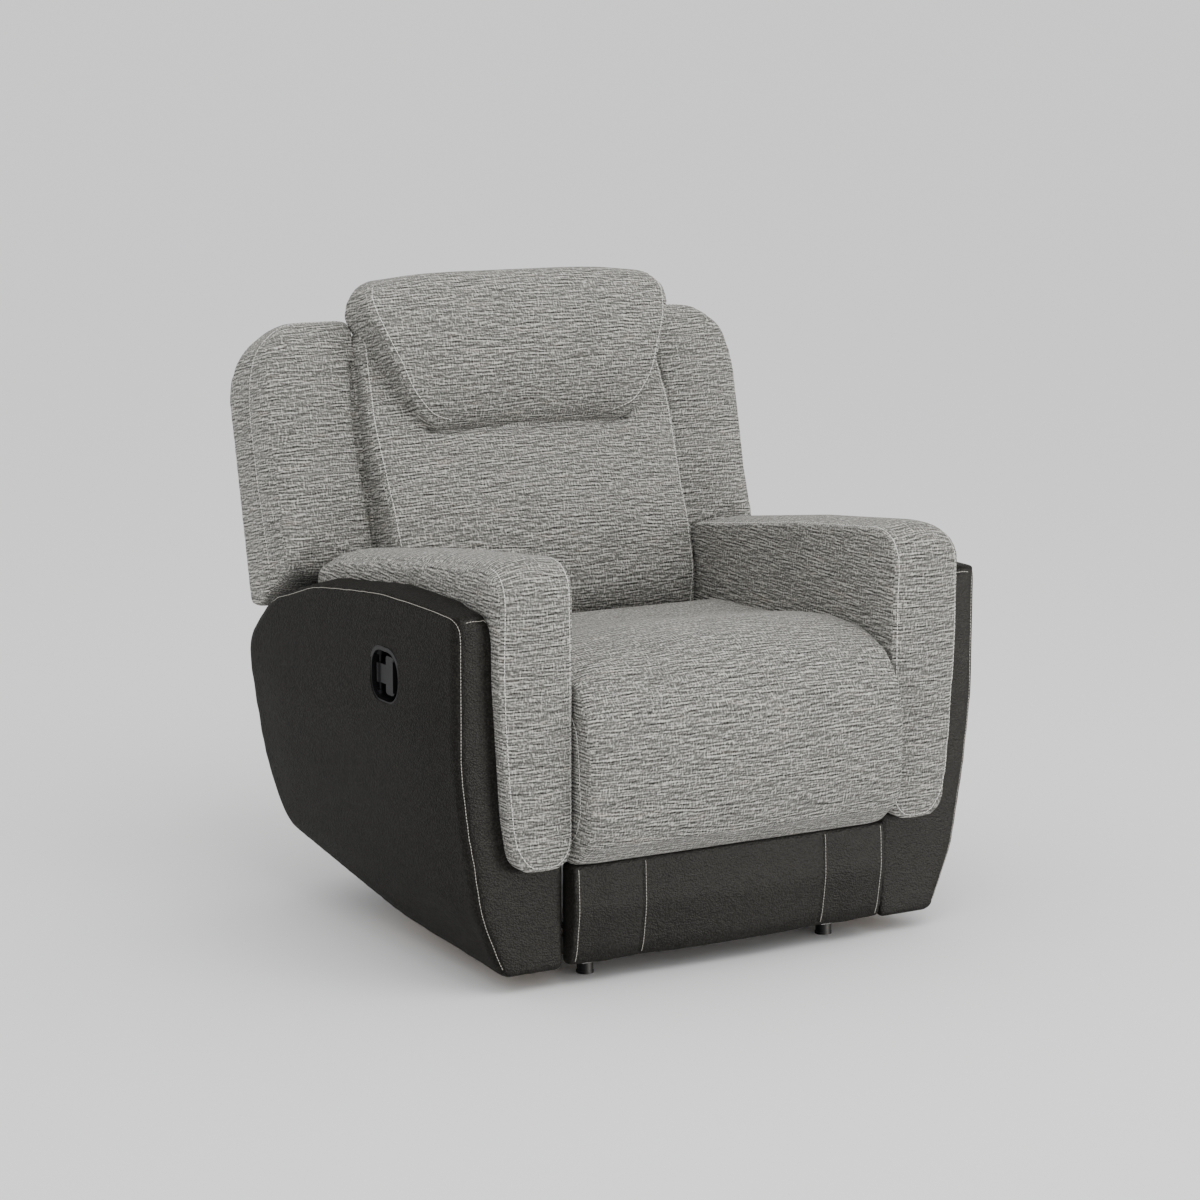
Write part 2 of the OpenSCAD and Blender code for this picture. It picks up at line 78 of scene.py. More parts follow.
RELAX_STEP = 0.5  # share of the way to the neighbours' middle that one relax round moves a vertex
PATH_STEP = 4 * MM
FINE_FILLET = 12  # points per corner of the arm's outlines


# ---- Geometry helpers ----
def fillet(path, steps=6):
    """Closed outline from [a, b, radius] corners in millimetres, as points in metres."""
    points = []
    for i, (a, b, radius) in enumerate(path):
        p = Vector((a, b))
        u = (Vector(path[i - 1][:2]) - p).normalized()
        v = (Vector(path[(i + 1) % len(path)][:2]) - p).normalized()
        if radius == 0:
            points.append(p)
            continue
        half = math.acos(max(-1, min(1, u.dot(v)))) / 2
        centre = p + (u + v).normalized() * radius / math.sin(half)
        first = p + u * radius / math.tan(half) - centre
        last = p + v * radius / math.tan(half) - centre
        start = math.atan2(first.y, first.x)
        turn = (math.atan2(last.y, last.x) - start + 3 * math.pi) % (2 * math.pi) - math.pi
        points += [centre + radius * Vector((math.cos(start + turn * k / steps),
                                             math.sin(start + turn * k / steps))) for k in range(steps + 1)]
    return [(p.x * MM, p.y * MM) for p in points]


def new_object(name, verts, faces):
    mesh = bpy.data.meshes.new(name)
    mesh.from_pydata([tuple(v) for v in verts], [], faces)
    mesh.update()
    obj = bpy.data.objects.new(name, mesh)
    bpy.context.scene.collection.objects.link(obj)
    return obj


def prism(outline, axis, low, high):
    """Closed solid of an outline drawn in (y, z) along x, or in (x, z) along y, between low and high."""
    place = (lambda a, b, c: (c, a, b)) if axis == "x" else (lambda a, b, c: (a, c, b))
    n = len(outline)
    verts = [place(a, b, c) for c in (low, high) for a, b in outline]
    faces = [list(range(n)), list(range(2 * n - 1, n - 1, -1))]
    faces += [[i, i + n, (i + 1) % n + n, (i + 1) % n] for i in range(n)]
    obj = new_object("prism", verts, faces)
    mesh = bmesh.new()
    mesh.from_mesh(obj.data)
    bmesh.ops.recalc_face_normals(mesh, faces=mesh.faces)
    mesh.to_mesh(obj.data)
    mesh.free()
    return obj


def bake(obj):
    """Applies every modifier."""
    graph = bpy.context.evaluated_depsgraph_get()
    graph.update()
    mesh = bpy.data.meshes.new_from_object(obj.evaluated_get(graph))
    obj.modifiers.clear()
    obj.data = mesh
    return obj


def boolean(obj, tool, operation):
    modifier = obj.modifiers.new("cut", "BOOLEAN")
    modifier.operation = operation
    modifier.solver = "EXACT"
    modifier.object = tool
    bake(obj)
    bpy.data.objects.remove(tool)
    return obj


def joined(first, *others):
    """One object that holds the closed shells of all of them."""
    mesh = bmesh.new()
    for obj in (first, *others):
        mesh.from_mesh(obj.data)
    mesh.to_mesh(first.data)
    mesh.free()
    for obj in others:
        bpy.data.objects.remove(obj)
    return first


def remesh(obj, size=VOXEL):
    modifier = obj.modifiers.new("remesh", "REMESH")
    modifier.mode = "VOXEL"
    modifier.voxel_size = size
    return bake(obj)


def coords(obj):
    co = np.empty(len(obj.data.vertices) * 3)
    obj.data.vertices.foreach_get("co", co)
    return co.reshape(-1, 3)


def normals(obj):
    n = np.empty(len(obj.data.vertices) * 3)
    obj.data.vertex_normals.foreach_get("vector", n)
    return n.reshape(-1, 3)


def set_coords(obj, co):
    obj.data.vertices.foreach_set("co", np.ascontiguousarray(co).ravel())
    obj.data.update()


def relax(obj, rounds, weight=None):
    """Rounds a mesh off by moving each vertex towards the middle of its neighbours."""
    edges = np.empty(len(obj.data.edges) * 2, np.int32)
    obj.data.edges.foreach_get("vertices", edges)
    a, b = edges.reshape(-1, 2).T
    co = coords(obj)
    count = np.bincount(a, minlength=len(co)) + np.bincount(b, minlength=len(co))
    for _ in range(rounds):
        total = np.stack([np.bincount(a, co[b, k], len(co)) + np.bincount(b, co[a, k], len(co))
                          for k in range(3)], 1)
        move = (total / count[:, None] - co) * RELAX_STEP
        co = co + (move if weight is None else move * weight[:, None])
    set_coords(obj, co)
    return obj


def subdivide(obj):
    modifier = obj.modifiers.new("subdivision", "SUBSURF")
    modifier.levels = modifier.render_levels = 1
    return bake(obj)


def distance_to(path, co):
    tree = KDTree(len(path))
    for i, p in enumerate(path):
        tree.insert(p, i)
    tree.balance()
    return np.array([tree.find(p)[2] for p in co])


def spread(points, pitch):
    """Points along a polyline, one for every pitch of its length."""
    points = [Vector(p) for p in points]
    lengths = [0.0]
    for a, b in zip(points, points[1:]):
        lengths.append(lengths[-1] + (b - a).length)
    count = max(2, round(lengths[-1] / pitch) + 1)
    at = np.linspace(0, lengths[-1], count)
    return [Vector([float(np.interp(s, lengths, [p[k] for p in points])) for k in range(3)]) for s in at]


def smooth_path(points):
    """Catmull-Rom curve through a few points."""
    parts = 12
    p = [Vector(q) for q in points]
    p = [2 * p[0] - p[1], *p, 2 * p[-1] - p[-2]]
    curve = []
    for a, b, c, d in zip(p, p[1:], p[2:], p[3:]):
        for k in range(parts):
            t = k / parts
            curve.append(0.5 * (2 * b + (c - a) * t + (2 * a - 5 * b + 4 * c - d) * t * t
                                + (3 * b - a - 3 * c + d) * t ** 3))
    curve.append(p[-2])
    return spread(curve, PATH_STEP)


def on_surface(obj, path):
    """The path laid onto the nearest points of the mesh and evened out, with the normals there."""
    tree = BVHTree.FromPolygons([v.co for v in obj.data.vertices],
                                [tuple(f.vertices) for f in obj.data.polygons])
    found = [tree.find_nearest(p) for p in path]
    for _ in range(3):
        points = [f[0] for f in found]
        even = [(a + 2 * b + c) / 4 for a, b, c in zip(points, points[1:], points[2:])]
        found = [tree.find_nearest(p) for p in [points[0], *even, points[-1]]]
    return [f[0] for f in found], [f[1] for f in found]


def crown(obj, amount, held, width, mask):
    """Swells the panels between the held seams outwards along the vertex normals, where the mask allows."""
    co, n = coords(obj), normals(obj)
    rise = amount * (1 - np.exp(-(distance_to(held, co) / width) ** 2)) * mask(co, n)
    set_coords(obj, co + n * rise[:, None])


def step(value, low, high):
    """Smooth 0 to 1 between low and high."""
    t = np.clip((value - low) / (high - low), 0, 1)
    return t * t * (3 - 2 * t)


CLOTH_PRESSURE = 4.0
CLOTH_FRAMES = 16
SEAM_HOLD = 14 * MM  # how far from a seam the pin fades


def puff(obj, cap, held, fixed):
    """Blows the pad up as pressurised cloth, pinned at its held seams and where fixed says.

    No vertex moves past the cap.
    """
    rest = coords(obj)
    pin = np.exp(-(distance_to(held, rest) / SEAM_HOLD) ** 2)
    pin = np.maximum(pin, fixed(rest, normals(obj)))
    group = obj.vertex_groups.new(name="pin")
    for level in np.unique(np.round(pin, 1)):
        if level > 0:
            group.add(np.flatnonzero(np.round(pin, 1) == level).tolist(), float(level), "REPLACE")
    scene = bpy.context.scene
    scene.frame_start, scene.frame_end = 1, CLOTH_FRAMES
    modifier = obj.modifiers.new("cloth", "CLOTH")
    settings = modifier.settings
    settings.quality = 4
    settings.mass = 0.3
    settings.tension_stiffness = settings.compression_stiffness = 15
    settings.shear_stiffness = 5
    settings.bending_stiffness = 0.5
    settings.use_pressure = True
    settings.uniform_pressure_force = CLOTH_PRESSURE
    settings.effector_weights.gravity = 0
    settings.vertex_group_mass = "pin"
    modifier.collision_settings.use_collision = False
    modifier.point_cache.frame_start, modifier.point_cache.frame_end = 1, CLOTH_FRAMES
    for f in range(1, CLOTH_FRAMES + 1):
        scene.frame_set(f)
    bake(obj)
    scene.frame_set(1)
    obj.vertex_groups.clear()
    move = coords(obj) - rest
    length = np.linalg.norm(move, axis=1)
    scale = cap * (1 - np.exp(-length / cap)) / np.maximum(length, 1e-9) * (1 - pin)
    set_coords(obj, rest + move * scale[:, None])


def groove(obj, path, depth, width):
    """Presses a seam into the surface along a path that lies on it."""
    co, n = coords(obj), normals(obj)
    press = depth * np.exp(-(distance_to(path, co) / width) ** 2)
    set_coords(obj, co - n * press[:, None])


def seam_groove(obj, path, depth, width):
    """Presses a seam in along a path near the surface, and returns the path on the surface."""
    found = on_surface(obj, path)[0]
    groove(obj, found, depth, width)
    return found


def stitches(name, obj, paths, pitch=7.5 * MM, length=6.6 * MM, radius=0.65 * MM, lift=0.35 * MM):
    """A row of sewn threads along each path, as small closed capsules lying on the surface."""
    verts, faces = [], []
    ring = 6
    # Places along a thread as parts of its length, with the thickness there as a part of the radius.
    profile = [(-0.5, 0.35), (-0.36, 0.85), (0, 1.0), (0.36, 0.85), (0.5, 0.35)]
    shortest = pitch * 0.3
    for path in paths:
        where, out = on_surface(obj, spread(path, pitch))
        for i in range(len(where) - 1):
            along = where[i + 1] - where[i]
            if along.length < shortest:
                continue
            along.normalize()
            up = (out[i] + out[i + 1]).normalized()
            side = along.cross(up).normalized()
            middle = (where[i] + where[i + 1]) / 2 + up * lift
            start = len(verts)
            for s, r in profile:
                sink = up * (-1.2 * radius * (2 * s) ** 4)  # the ends dive into the cover
                for k in range(ring):
                    a = 2 * math.pi * k / ring
                    verts.append(middle + along * s * length + sink
                                 + (side * math.cos(a) + up * math.sin(a)) * radius * r)
            for j in range(len(profile) - 1):
                for k in range(ring):
                    m = (k + 1) % ring
                    faces.append([start + j * ring + k, start + j * ring + m,
                                  start + (j + 1) * ring + m, start + (j + 1) * ring + k])
            faces.append([start + k for k in range(ring - 1, -1, -1)])
            faces.append([start + (len(profile) - 1) * ring + k for k in range(ring)])
    threads = new_object(name, verts, faces)
    threads.data.shade_smooth()
    return threads


def weave_map(obj, profile, frame_of=None):
    """Lays the weave out per face: across x and along the profile, or straight up on side faces.

    The profile is a closed outline of (distance back, height), in the frame that frame_of gives.
    """
    mesh = obj.data
    layer = mesh.uv_layers.new(name="weave")
    co = coords(obj)
    back, high = frame_of(co) if frame_of else (co[:, 1], co[:, 2])
    line = np.array([tuple(p)[:2] for p in spread([(*p, 0) for p in profile], 3 * MM)])
    tree = KDTree(len(line))
    for i, p in enumerate(line):
        tree.insert((*p, 0), i)
    tree.balance()
    near = np.array([tree.find((y, z, 0))[1] for y, z in zip(back, high)])
    at = np.stack([back, high], 1)
    length = np.concatenate([[0], np.cumsum(np.linalg.norm(np.diff(line, axis=0), axis=1))])
    before, after = line[np.maximum(near - 1, 0)], line[np.minimum(near + 1, len(line) - 1)]
    along = after - before
    along /= np.linalg.norm(along, axis=1)[:, None]
    run = length[near] + ((at - line[near]) * along).sum(1)
    n = np.empty(len(mesh.polygons) * 3)
    mesh.polygons.foreach_get("normal", n)
    side = np.abs(n.reshape(-1, 3)[:, 0]) > 0.8
    total = np.empty(len(mesh.polygons), np.int32)
    mesh.polygons.foreach_get("loop_total", total)
    vertex = np.empty(len(mesh.loops), np.int32)
    mesh.loops.foreach_get("vertex_index", vertex)
    is_side = np.repeat(side, total)
    across = np.where(is_side, back[vertex], co[vertex, 0])
    uv = np.stack([across, np.where(is_side, high[vertex], run[vertex])], 1)
    layer.data.foreach_set("uv", uv.astype(np.float32).ravel())


def mirrored(obj, name):
    """A copy on the other side of the chair."""
    mesh = obj.data.copy()
    copy = bpy.data.objects.new(name, mesh)
    bpy.context.scene.collection.objects.link(copy)
    mesh.transform(Matrix.Scale(-1, 4, (1, 0, 0)))
    mesh.flip_normals()
    return copy


def dress(obj, material, body, replaces=()):
    """Gives a finished piece its material, body, slot and the CAD nodes that it stands for."""
    obj.data.materials.clear()
    obj.data.materials.append(material)
    obj.data.shade_smooth()
    if replaces:
        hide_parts(*replaces)
    if body:
        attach(obj, body)


def sew(name, obj, paths, thread, body, **sewing):
    """Sews rows of stitches on a piece, dresses them like it and returns them."""
    threads = stitches(name, obj, paths, **sewing)
    dress(threads, thread, body)
    return threads


def flip(points):
    """The same path on the other side of the chair."""
    return [Vector((-p[0], p[1], p[2])) for p in points]


# ---- Materials ----
class Shader:
    """A node material: add() makes a node, and sockets are linked or set by name."""

    def __init__(self, name, roughness, base=(0.5, 0.5, 0.5), **sockets):
        self.material = bpy.data.materials.new(name)
        self.material.use_nodes = True
        self.nodes = self.material.node_tree.nodes
        self.links = self.material.node_tree.links
        self.bsdf = self.nodes["Principled BSDF"]
        self.bsdf.inputs["Roughness"].default_value = roughness
        self.bsdf.inputs["Base Color"].default_value = (*base, 1)
        for key, value in sockets.items():
            self.bsdf.inputs[key.replace("_", " ")].default_value = value

    def add(self, kind, inputs=None, **settings):
        node = self.nodes.new("ShaderNode" + kind)
        for key, value in settings.items():
            setattr(node, key, value)
        for key, value in (inputs or {}).items():
            if isinstance(value, bpy.types.NodeSocket):
                self.links.new(value, node.inputs[key])
            else:
                node.inputs[key].default_value = value
        return node

    def scaled(self, vector, x, y, z=1.0, shift=(0.0, 0.0, 0.0)):
        return self.add("Mapping", {"Vector": vector, "Scale": (x, y, z), "Location": shift}).outputs[0]

    def yarns(self, vector, across, up, aside, above, seed):
        """Stretched noise less the same noise a step away, which leaves close yarns without broad blotches."""
        here = self.noise(self.scaled(vector, across, up, 1.0, (seed, seed, seed)), 1.0, 0.0)
        away = (seed + across * aside, seed + up * above, seed)
        there = self.noise(self.scaled(vector, across, up, 1.0, away), 1.0, 0.0)
        return self.math("SUBTRACT", here, there)

    def noise(self, vector, scale, detail=2.0, roughness=0.5):
        return self.add("TexNoise", {"Vector": vector, "Scale": scale, "Detail": detail,
                                     "Roughness": roughness}).outputs["Fac"]

    def math(self, operation, a, b=0.0):
        return self.add("Math", {0: a, 1: b}, operation=operation).outputs[0]

    def weighted(self, first, *others):
        """Sum of (value, weight) pairs."""
        total = self.math("MULTIPLY", *first)
        for value, weight in others:
            total = self.math("ADD", total, self.math("MULTIPLY", value, weight))
        return total

    def mix(self, factor, a, b, blend="MIX"):
        node = self.add("Mix", data_type="RGBA", blend_type=blend)
        for index, value in ((0, factor), (6, a), (7, b)):
            if isinstance(value, bpy.types.NodeSocket):
                self.links.new(value, node.inputs[index])
            else:
                node.inputs[index].default_value = value if index == 0 else (*value, 1)
        return node.outputs[2]

    def ramp(self, factor, *stops):
        node = self.add("ValToRGB", {"Fac": factor})
        elements = node.color_ramp.elements
        while len(elements) < len(stops):
            elements.new(0.5)
        for element, (position, colour) in zip(elements, stops):
            element.position = position
            element.color = (*colour, 1)
        return node.outputs["Color"]

    def bump(self, height, distance, strength=1.0):
        node = self.add("Bump", {"Height": height, "Distance": distance, "Strength": strength})
        self.links.new(node.outputs[0], self.bsdf.inputs["Normal"])

    def colour(self, socket):
        self.links.new(socket, self.bsdf.inputs["Base Color"])

    def between(self, value, low, high):
        """Smooth 0 to 1 as the value goes from low to high."""
        return self.add("MapRange", {"Value": value, "From Min": low, "From Max": high},
                        interpolation_type="SMOOTHSTEP").outputs[0]

    def roughness(self, factor, low, high):
        node = self.add("MapRange", {"Value": factor, "To Min": low, "To Max": high})
        self.links.new(node.outputs[0], self.bsdf.inputs["Roughness"])


def grey(value):
    return (value, value, value)


def woven_fabric():
    """Heathered grey upholstery: dark and light slubs across, thin light yarns upwards, a grainy ground."""
    s = Shader("woven_fabric", 0.95, Sheen_Weight=0.08, Sheen_Roughness=0.5, Specular_IOR_Level=0.0)
    uv = s.add("UVMap", uv_map="weave").outputs[0]
    rows = s.yarns(uv, 28, 330, 0, 2.8 * MM, 0.0)
    slubs = s.yarns(uv, 85, 470, 0, 2.4 * MM, 3.7)
    grain = s.yarns(uv, 320, 320, 2.3 * MM, 1.1 * MM, 7.1)
    upright = s.noise(s.scaled(uv, 360, 80, 1.0, (1.9, 5.3, 0.0)), 1.0, 0.0)
    patch = s.noise(s.scaled(uv, 12, 60), 1.0, 2.0)
    shade = s.weighted((rows, 0.7), (slubs, 0.6), (grain, 0.48), (s.between(upright, 0.58, 0.7), 0.27),
                       (patch, 0.24))
    shade = s.math("ADD", shade, 0.38)
    dark, middle, light = (0.027, 0.0262, 0.0238), (0.166, 0.163, 0.1505), (0.58, 0.57, 0.528)
    tone = s.ramp(shade, (0.0, dark), (0.5, middle), (1.0, light))
    warm = (1.0, 0.91, 0.87)
    tone = s.mix(s.math("MULTIPLY", s.between(patch, 0.6, 0.72), 0.5), tone, warm, "MULTIPLY")
    s.colour(tone)
    s.roughness(upright, 0.98, 0.88)
    s.bump(shade, 0.4 * MM, 0.4)
    return s.material


def pebbled_leather():
    """Dark brown-black bonded leather with a fine pebble grain and softly worn high spots."""
    s = Shader("dark_leather", 0.55, Specular_IOR_Level=0.04)
    at = s.add("TexCoord").outputs["Object"]
    cells = s.add("TexVoronoi", {"Vector": s.scaled(at, 280, 280, 330), "Scale": 1.0},
                  feature="F1").outputs["Distance"]
    pores = s.noise(at, 700, 2.0, 0.6)
    crease = s.noise(s.scaled(at, 60, 60, 110), 1.0, 4.0, 0.6)
    broad = s.noise(at, 7, 3.0)
    grain = s.weighted((cells, 0.7), (pores, 0.6), (crease, 0.5))
    tone = s.ramp(grain, (0.5, (0.03, 0.0286, 0.0255)), (1.0, (0.01, 0.0095, 0.0084)))
    s.colour(s.mix(1.0, tone, s.ramp(broad, (0.3, grey(0.88)), (0.7, grey(1.1))), "MULTIPLY"))
    s.roughness(s.weighted((broad, 0.5), (pores, 0.5)), 0.46, 0.62)
    s.bump(grain, 1.5 * MM, 1.0)
    return s.material


def sewing_thread(name, colour):
    """Matt thread with a fine twist."""
    s = Shader(name, 0.7, colour)
    at = s.add("TexCoord").outputs["Object"]
    twist = s.noise(at, 1500, 1.0)
    light = tuple(min(1, c * 1.15) for c in colour)
    dark = tuple(c * 0.75 for c in colour)
    s.colour(s.mix(twist, dark, light))
    s.bump(twist, 0.2 * MM)
    return s.material


def raw_wood():
    """Bare frame wood with rings along its length."""
    s = Shader("frame_wood", 0.75)
    at = s.add("TexCoord").outputs["Object"]
    rings = s.noise(s.scaled(at, 8, 8, 90), 1.0, 5.0, 0.6)
    s.colour(s.ramp(rings, (0.3, (0.36, 0.23, 0.12)), (0.7, (0.62, 0.45, 0.27))))
    s.bump(rings, 0.4 * MM)
    return s.material


def metal(name, base, roughness, metallic):
    """Lightly brushed metal or metallic paint."""
    scratch = 0.075
    s = Shader(name, roughness, base, Metallic=metallic)
    at = s.add("TexCoord").outputs["Object"]
    brushed = s.noise(s.scaled(at, 40, 400, 400), 1.0, 3.0)
    specks = s.noise(at, 1800, 2.0)
    s.colour(s.mix(brushed, tuple(c * 0.85 for c in base), tuple(min(1, c * 1.15) for c in base)))
    s.roughness(brushed, roughness - scratch, roughness + scratch)
    s.bump(specks, 0.1 * MM, 0.5)
    return s.material


def moulded(name, base, roughness):
    """Plastic with a fine moulded grain."""
    s = Shader(name, roughness, base, Specular_IOR_Level=0.1)
    at = s.add("TexCoord").outputs["Object"]
    texture = s.noise(at, 1400, 3.0)
    s.colour(s.mix(texture, tuple(c * 0.9 for c in base), tuple(c * 1.1 for c in base)))
    s.roughness(s.noise(at, 25, 3.0), roughness - 0.06, roughness + 0.08)
    s.bump(texture, 0.12 * MM, 0.6)
    return s.material


FABRIC = woven_fabric()
LEATHER = pebbled_leather()
FABRIC_THREAD = sewing_thread("fabric_thread", (0.82, 0.81, 0.77))
LEATHER_THREAD = sewing_thread("leather_thread", (0.42, 0.4, 0.355))
# Stitches on the leather are finer than those on the cloth.
LEATHER_SEWING = {"pitch": 5.4 * MM, "length": 5.0 * MM, "radius": 0.55 * MM, "lift": 0.3 * MM}
NODE_FINISH = {
    "frame_wood": raw_wood(),
    "mechanism_steel": metal("mechanism_steel", (0.06, 0.06, 0.065), 0.45, 0.6),
    "base_steel": metal("base_steel", (0.03, 0.03, 0.032), 0.4, 0.5),
    "spring_steel": metal("spring_steel", (0.3, 0.3, 0.31), 0.35, 0.9),
    "zinc_fasteners": metal("zinc_fasteners", (0.55, 0.56, 0.58), 0.35, 0.95),
    "nylon": moulded("nylon", (0.72, 0.72, 0.66), 0.45),
    "foot_plastic": moulded("foot_plastic", (0.012, 0.012, 0.013), 0.5),
    "handle_plastic": moulded("handle_plastic", (0.008, 0.008, 0.009), 0.3),
    "woven_fabric": FABRIC,
    "dark_leather": LEATHER,
}
SLOT_OF = {p["node"]: p["material_slot"] for p in frame["record"]["subparts"]}
BEVELLED_NODES = ("handle_cup", "release_lever", "feet")
for node, obj in frame["nodes"].items():
    obj.data.materials.clear()
    obj.data.materials.append(NODE_FINISH["handle_plastic" if node == "handle_pin" else SLOT_OF[node]])
    if node in BEVELLED_NODES:
        edge = obj.modifiers.new("edge", "BEVEL")
        edge.width = 1.2 * MM
        edge.segments = 2
        edge.limit_method = "ANGLE"


# ---- Seat and footrest pad: one chaise pad over the nose of the seat ----
def board_lips(low, high):
    """Cover that wraps round both ends of the footrest board, between two heights in millimetres."""
    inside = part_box("footrest_board")[1].x - 6 * MM
    wrap = fillet([[-432, low, 0], [-406, low, 0], [-406, high, 0], [-432, high, 0]])
    return [prism(wrap, "x", *sorted((s * inside, s * PAD_X))) for s in (-1, 1)]


def chaise_pad():
    """Seat and footrest as one pad with a shallow crease, blended between the two bodies over the nose."""
    side = [[108, 424, 8], [108, 500, 22], [-60, 508, 200], [-178, 519, 60], [-218, 531, 40],
            [-300, 538, 160], [-384, 531, 120], [-452, 504, 56], [-494, 450, 60], [-505, 380, 160],
            [-504, 280, 60], [-486, 238, 40], [-449, 206, 12], [-431, 200, 4], [-424, 408, 14]]
    profile = fillet(side)
    pad = remesh(joined(prism(profile, "x", -PAD_X, PAD_X), *board_lips(200, 392)))
    relax(pad, 5)
    co = coords(pad)
    corners = step(np.abs(co[:, 0]), PAD_X - 0.035, PAD_X - 0.015) * step(-co[:, 1], 0.27, 0.4)
    relax(pad, 14, weight=corners)

    def nearest(y, z):
        """Place in the profile of the point nearest to (y, z)."""
        return min(range(len(profile)), key=lambda i: abs(profile[i][0] - y) + abs(profile[i][1] - z))

    edge = [Vector(p) for p in profile[nearest(-0.19, 0.52):nearest(-0.452, 0.208) + 1]]
    # Round the front the seams run on the sides, a little inside the outline.
    middle = Vector((-0.33, 0.38))
    edge = [p + (middle - p).normalized() * 40 * MM * float(step(-p.x, 0.25, 0.4)) for p in edge]
    seams = [spread([(s * (PAD_X - 1 * MM), y, z) for y, z in edge], 5 * MM) for s in (-1, 1)]
    crease = spread([(-PAD_X, -0.192, 0.522), (PAD_X, -0.192, 0.522)], 6 * MM)
    held = seams[0] + seams[1]

    def free(co, n):
        """Lets the top and the front swell, and less so behind the crease."""
        return step(n[:, 2] - n[:, 1], -0.1, 0.5) * (1 - 0.65 * step(co[:, 1], -0.22, -0.16))

    crown(pad, 6 * MM, held, 40 * MM, free)
    crown(pad, 11 * MM, held, 190 * MM, free)
    puff(pad, 11 * MM, held, lambda co, n: np.maximum(1 - free(co, n), step(np.abs(n[:, 0]), 0.5, 0.8)))
    subdivide(pad)
    for seam in seams:
        seam_groove(pad, seam, 2.5 * MM, 4 * MM)
    line = on_surface(pad, crease)[0]
    co = coords(pad)
    depth = (7 + 14 * step(np.abs(co[:, 0]), 0.1, 0.29)) * MM
    d = distance_to(line, co)
    co[:, 2] -= depth * np.exp(-(d / (16 * MM)) ** 2) * step(normals(pad)[:, 2], 0.2, 0.7)
    set_coords(pad, co)
    relax(pad, 1)
    weave_map(pad, profile)
    pad.name = "chaise_pad"
    dress(pad, FABRIC, None, ("seat_cushion", "footrest_pad"))
    rows = [[p + Vector((0, 0, -5 * MM)) for p in s] for s in seams]
    threads = sew("chaise_stitching", pad, rows, FABRIC_THREAD, None)
    for piece in (pad, threads):
        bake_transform(piece)


def kick_panel():
    """Leather panel below the pad, wrapped round the footrest board, with two upright seams."""
    side = [[-426, 36, 4], [-426, 206, 2], [-449, 205, 6], [-453, 130, 90], [-442, 60, 60], [-432, 36, 6]]
    hem = prism(fillet([[-432, 36, 0], [-406, 36, 0], [-406, 54, 0], [-432, 54, 0]]), "x", -PAD_X, PAD_X)
    panel = remesh(joined(prism(fillet(side), "x", -PAD_X, PAD_X), hem, *board_lips(36, 206)), 5 * MM)
    relax(panel, 3)
    heights = (0.036, 0.08, 0.12, 0.16, 0.202)
    seam_x, edge_x = 0.174, PAD_X - 0.009
    uprights = [[(x, KICK_FACE_Y, z) for z in heights] for x in (-seam_x, seam_x)]
    edges = [[(x, KICK_FACE_Y, z) for z in heights] for x in (-edge_x, edge_x)]
    held = [p for line in uprights + edges for p in spread(line, 6 * MM)]
    crown(panel, 5 * MM, held, 60 * MM, lambda co, n: step(-n[:, 1], 0.2, 0.7))
    subdivide(panel)
    for line in uprights:
        seam_groove(panel, spread(line, 3 * MM), 2.2 * MM, 3 * MM)
    panel.name = "kick_panel_cover"
    dress(panel, LEATHER, "footrest", ("kick_panel",))
    rows = [[Vector(p) + Vector((6 * MM, 0, 0)) for p in line] for line in uprights] + edges
    sew("kick_stitching", panel, rows, LEATHER_THREAD, "footrest", **LEATHER_SEWING)


# ---- Back ----
def in_back(points):
    """Points given in the raked frame of the back, as [x, behind the hip, above the hip] in millimetres."""
    return [BACK @ Vector((x * MM, u * MM, w * MM)) for x, u, w in points]


UP = BACK.to_3x3() @ Vector((0, 0, 1))
OUT = BACK.to_3x3() @ Vector((0, 1, 0))


def raked(co):
    """Coordinates in the frame of the back, as distances behind and above the hip."""
    local = co - np.array(HIP)
    return local @ np.array(OUT), local @ np.array(UP)


def facing(n):
    """How far each normal faces the sitter, -1 to 1."""
    return -(n @ np.array(OUT))


def both_sides(points):
    """The same path in the frame of the back, on the left and on the right."""
    return [smooth_path(in_back([(s * x, u, w) for x, u, w in points])) for s in (-1, 1)]


def mirror_face(points):
    """Closed outline that repeats the right half of a face, given from the bottom up, on the left."""
    return points + [[-x, w, r] for x, w, r in reversed(points)]


def shaped_pad(side, face):
    """Pad that keeps to a side outline and to a face outline, both in the frame of the back."""
    return boolean(prism(fillet(side), "x", -0.33, 0.33), prism(fillet(face), "y", -0.4, 0.2), "INTERSECT")


def pillow_rows(seams, forward):
    """Stitch rows beside the seams of a pillow, 6 mm nearer the middle and moved forward."""
    return [[p + Vector((-math.copysign(6 * MM, p.x), 0, 0)) - OUT * forward for p in seam] for seam in seams]


